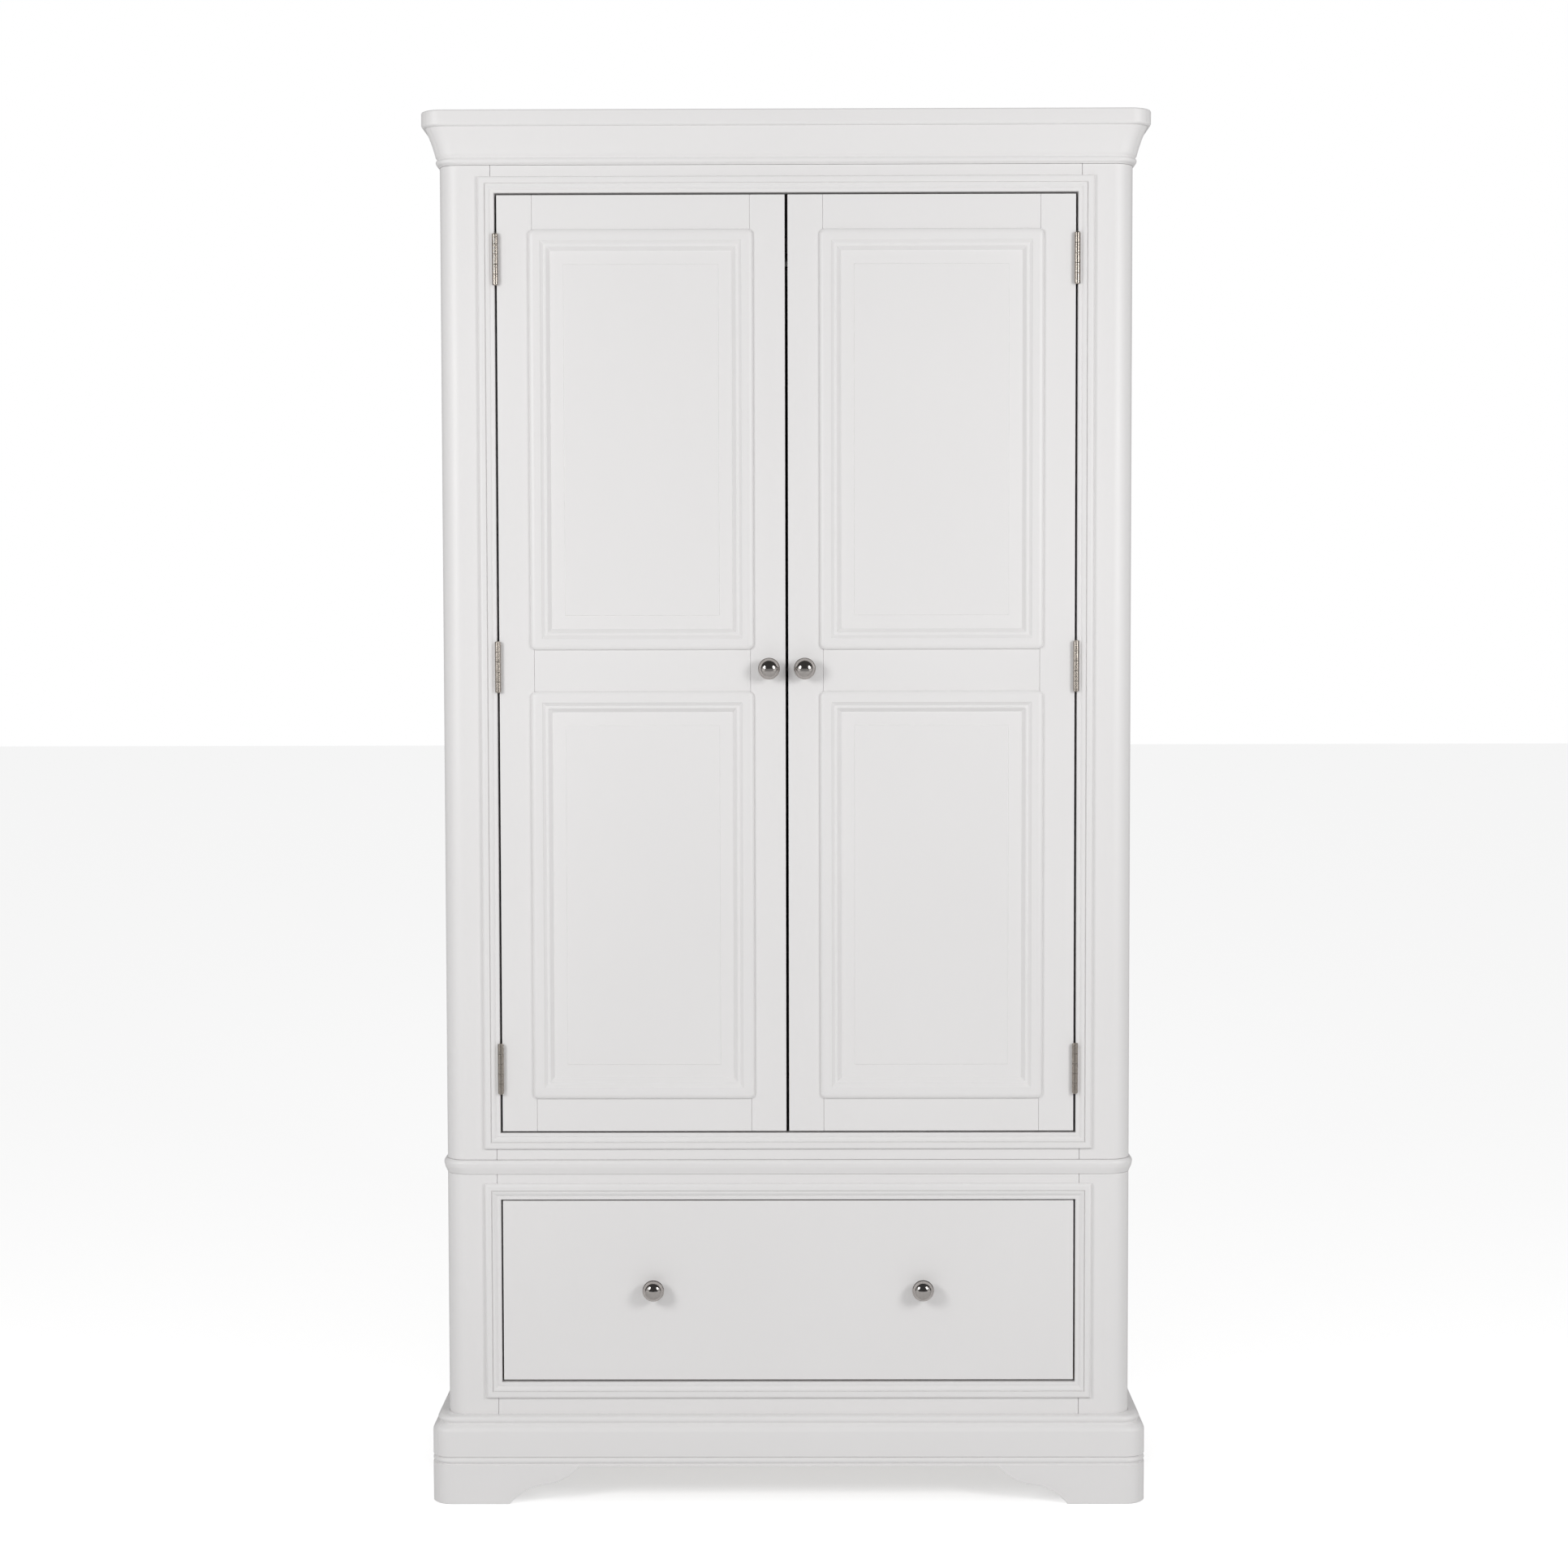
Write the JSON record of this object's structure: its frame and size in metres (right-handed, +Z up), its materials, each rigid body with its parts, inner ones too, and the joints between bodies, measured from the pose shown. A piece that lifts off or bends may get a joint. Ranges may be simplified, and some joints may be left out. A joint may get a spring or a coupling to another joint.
{
  "type": "wardrobe",
  "caption": "Painted wardrobe with panelled hinged doors over a hanging space, a deep drawer below, a coved cornice and bracket feet.",
  "frame": {"origin": "on the floor, at the middle of the wardrobe's width and of its depth over the knobs", "axes": "+Z up, the doors and drawer face -Y, +X to the right of someone facing the doors"},
  "size_m": [1.017, 0.587, 1.96],
  "materials": {
    "paint": "satin off-white paint on wood",
    "inner_paint": "matt off-white paint on board",
    "drawer_wood": "bare pine, lightly sealed",
    "knob_nickel": "polished nickel",
    "hinge_nickel": "satin nickel plate",
    "rail_steel": "chromed steel tube"
  },
  "bodies": {
    "carcass": {"base_back_panel": "inner_paint", "base_bead_board": "paint", "base_post_front_left": "paint", "base_post_front_right": "paint", "base_rail_bottom": "paint", "base_rail_top": "paint", "base_side_left": "paint", "base_side_right": "paint", "cornice_back": "paint", "cornice_front": "paint", "cornice_side_left": "paint", "cornice_side_right": "paint", "door_surround": "paint", "drawer_runner_left": "drawer_wood", "drawer_runner_right": "drawer_wood", "drawer_surround": "paint", "hanging_rail": "rail_steel", "hinge_frame_leaf_bottom_left": "hinge_nickel", "hinge_frame_leaf_bottom_right": "hinge_nickel", "hinge_frame_leaf_middle_left": "hinge_nickel", "hinge_frame_leaf_middle_right": "hinge_nickel", "hinge_frame_leaf_top_left": "hinge_nickel", "hinge_frame_leaf_top_right": "hinge_nickel", "plinth_front": "paint", "plinth_side_left": "paint", "plinth_side_right": "paint", "upper_back_panel": "inner_paint", "upper_ceiling_board": "inner_paint", "upper_floor_board": "inner_paint", "upper_post_front_left": "paint", "upper_post_front_right": "paint", "upper_rail_bottom": "paint", "upper_rail_top": "paint", "upper_side_left": "paint", "upper_side_right": "paint"},
    "left_door": {"door_frame_left": "paint", "door_knob_left": "knob_nickel", "door_moulding_lower_left": "paint", "door_moulding_upper_left": "paint", "door_panel_lower_left": "paint", "door_panel_upper_left": "paint", "hinge_door_leaf_bottom_left": "hinge_nickel", "hinge_door_leaf_middle_left": "hinge_nickel", "hinge_door_leaf_top_left": "hinge_nickel"},
    "right_door": {"door_frame_right": "paint", "door_knob_right": "knob_nickel", "door_moulding_lower_right": "paint", "door_moulding_upper_right": "paint", "door_panel_lower_right": "paint", "door_panel_upper_right": "paint", "hinge_door_leaf_bottom_right": "hinge_nickel", "hinge_door_leaf_middle_right": "hinge_nickel", "hinge_door_leaf_top_right": "hinge_nickel"},
    "drawer": {"drawer_back": "drawer_wood", "drawer_bottom": "drawer_wood", "drawer_front": "paint", "drawer_knob_left": "knob_nickel", "drawer_knob_right": "knob_nickel", "drawer_side_left": "drawer_wood", "drawer_side_right": "drawer_wood"}
  },
  "joints": [
    {"name": "left_door_hinge", "type": "hinge", "parent": "carcass", "child": "left_door", "pos_m": [-0.4059, -0.2685, 1.188], "axis": [0, 0, -1], "range_deg": [0, 170]},
    {"name": "right_door_hinge", "type": "hinge", "parent": "carcass", "child": "right_door", "pos_m": [0.4059, -0.2685, 1.188], "axis": [0, 0, 1], "range_deg": [0, 170]},
    {"name": "drawer_slide", "type": "slide", "parent": "carcass", "child": "drawer", "axis": [0, -1, 0], "range_m": [0, 0.38]}
  ]
}
